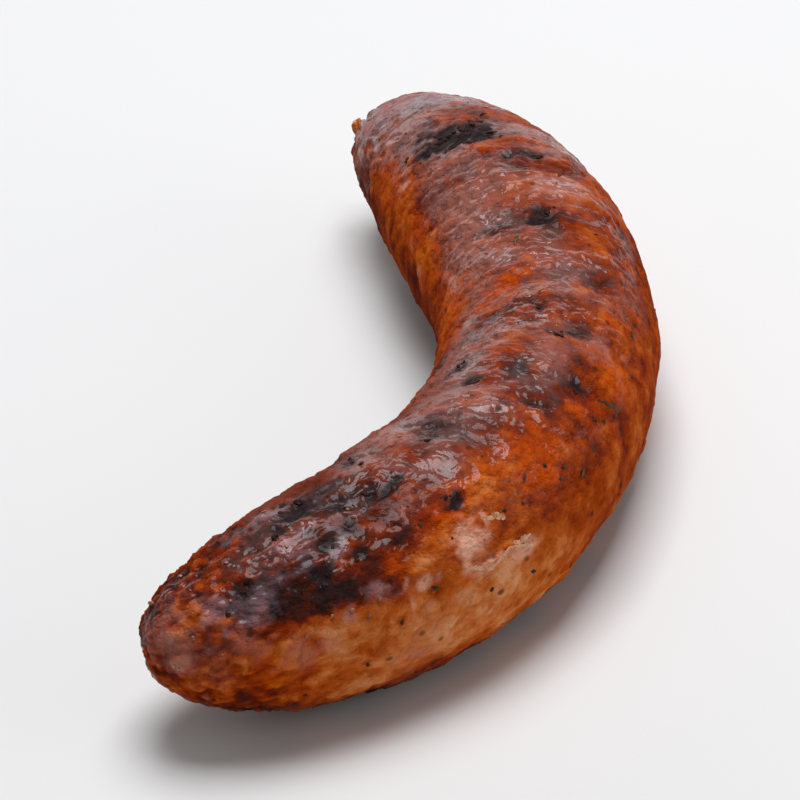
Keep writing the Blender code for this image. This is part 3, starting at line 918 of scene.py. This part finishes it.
def addHerbs():
    draw = random.Random(61)
    bm = bmesh.new()
    for blade in herb["blades"]:
        layStrip(bm, blade, herb["strip"], draw)
    finishPiece(bm, "herbFlecks", bitFinish("herb", (0.020, 0.010, 0.003), (0.090, 0.045, 0.008), 1100, 0.5, 0.2, 0.0001))


# The twisted end of casing left where the link was tied off.
knot = {
    "length": 5.2 * mm,
    "buried": 1.8 * mm,
    "girths": ((0.0, 2.2), (0.30, 1.5), (0.45, 1.05), (0.62, 1.25), (0.80, 1.45), (0.93, 1.0), (1.0, 0.1)),
    "folds": 6,
    "foldDepth": 0.17,
    "twist": 1.1,
    "bend": 1.5 * mm,
    "side": 125,
}


def addKnot():
    bm = bmesh.new()
    bmesh.ops.create_uvsphere(bm, u_segments=72, v_segments=60, radius=1)
    distances, xs, ys, headings = path
    end = form["bodyLength"]
    heading = np.interp(end, distances, headings)
    centre = Vector((np.interp(end, distances, xs) - middle[0], np.interp(end, distances, ys) - middle[1],
                     form["slump"] * form["thickness"] / 2 - form["settle"]))
    ahead = Vector((math.cos(heading), math.sin(heading), 0))
    outside = Vector((math.sin(heading), -math.cos(heading), 0))
    up = Vector((0, 0, 1))
    lean = outside * math.cos(math.radians(knot["side"])) + up * math.sin(math.radians(knot["side"]))
    stops, girths = np.array(knot["girths"]).T
    for vertex in bm.verts:
        turn = math.atan2(vertex.co.y, vertex.co.x)
        part = 1 - math.acos(max(-1, min(1, vertex.co.z))) / math.pi
        wave = math.cos(knot["folds"] * (turn + knot["twist"] * 2 * math.pi * part * 0.5))
        fray = noise.noise(vertex.co * 3.5)
        girth = np.interp(part, stops, girths) * mm * (1 + knot["foldDepth"] * wave * (1 - part * 0.3) + 0.14 * fray)
        round_ = girth * (math.sin(math.pi * part) ** 0.25 if 0 < part < 1 else 0)
        spine = centre + ahead * (knot["length"] * part - knot["buried"]) + lean * knot["bend"] * part ** 2
        vertex.co = spine + (outside * math.cos(turn) + up * math.sin(turn)) * round_
    finishPiece(bm, "casingKnot", bitFinish("twistedCasing", (0.36, 0.060, 0.005), (0.66, 0.21, 0.03), 600, 0.4, 0.7, 0.0001))


# ---- the studio

studio = {
    "azimuth": 16.0,          # the way the camera looks, from +X towards +Y
    "elevation": 33.0,
    "roll": -5.8,
    "distance": 1.344,
    "lens": 385,
    "target": (0.0, 0.008, 0.014),
}


def addCamera():
    data = bpy.data.cameras.new("camera")
    data.lens = studio["lens"]
    data.sensor_width = 36
    data.clip_start = 0.01
    camera = bpy.data.objects.new("camera", data)
    azimuth = math.radians(studio["azimuth"])
    elevation = math.radians(studio["elevation"])
    look = Vector((math.cos(azimuth) * math.cos(elevation), math.sin(azimuth) * math.cos(elevation),
                   -math.sin(elevation)))
    aim = look.to_track_quat("-Z", "Y").to_matrix().to_4x4()
    spin = Matrix.Rotation(math.radians(studio["roll"]), 4, "Z")
    spot = Vector(studio["target"]) - look * studio["distance"]
    camera.matrix_world = Matrix.Translation(spot) @ aim @ spin
    scene.collection.objects.link(camera)
    scene.camera = camera


def addLight(name, place, size, power, colour=(1, 1, 1)):
    data = bpy.data.lights.new(name, "AREA")
    data.shape = "RECTANGLE"
    data.size, data.size_y = size
    data.energy = power
    data.color = colour
    light = bpy.data.objects.new(name, data)
    spot = Vector(place)
    light.matrix_world = Matrix.Translation(spot) @ (-spot).to_track_quat("-Z", "Y").to_matrix().to_4x4()
    scene.collection.objects.link(light)


def addStudio():
    addCamera()
    addLight("overhead", (0.22, -0.02, 0.92), (0.6, 0.6), 8.4, (0.96, 0.97, 1.0))
    addLight("side", (-0.15, -1.10, 0.42), (0.9, 0.45), 1.8, (1.0, 0.98, 0.95))
    addLight("low", (0.75, -1.5, 0.20), (0.5, 0.25), 1.3, (1.0, 0.97, 0.95))
    addLight("back", (1.25, 0.45, 0.32), (1.5, 0.5), 3.2, (0.94, 0.96, 1.0))
    world = bpy.data.worlds.new("studio")
    world.use_nodes = True
    world.node_tree.nodes["Background"].inputs["Color"].default_value = (1, 1, 1, 1)
    world.node_tree.nodes["Background"].inputs["Strength"].default_value = 0.19
    scene.world = world
    scene.view_settings.view_transform = "Standard"
    bm = bmesh.new()
    bmesh.ops.create_grid(bm, x_segments=2, y_segments=2, size=1.6)
    mesh = bpy.data.meshes.new("floor")
    bm.to_mesh(mesh)
    bm.free()
    floor = bpy.data.objects.new("floor", mesh)
    scene.collection.objects.link(floor)
    material, tree, shader = newMaterial("paleFloor")
    shader.inputs["Base Color"].default_value = (0.85, 0.845, 0.835, 1)
    shader.inputs["Roughness"].default_value = 0.7
    mesh.materials.append(material)


print("studio")
addStudio()
print("skin")
sausageSkin = buildSkin()
sausageSkin.data.materials.append(skinFinish())
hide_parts("sausage")
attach(sausageSkin, "root")
print("small bits")
mottling = mottlingGroup()
addPepper()
addCrumbs()
addBeads()
addPeeledCasing()
addHerbs()
addKnot()
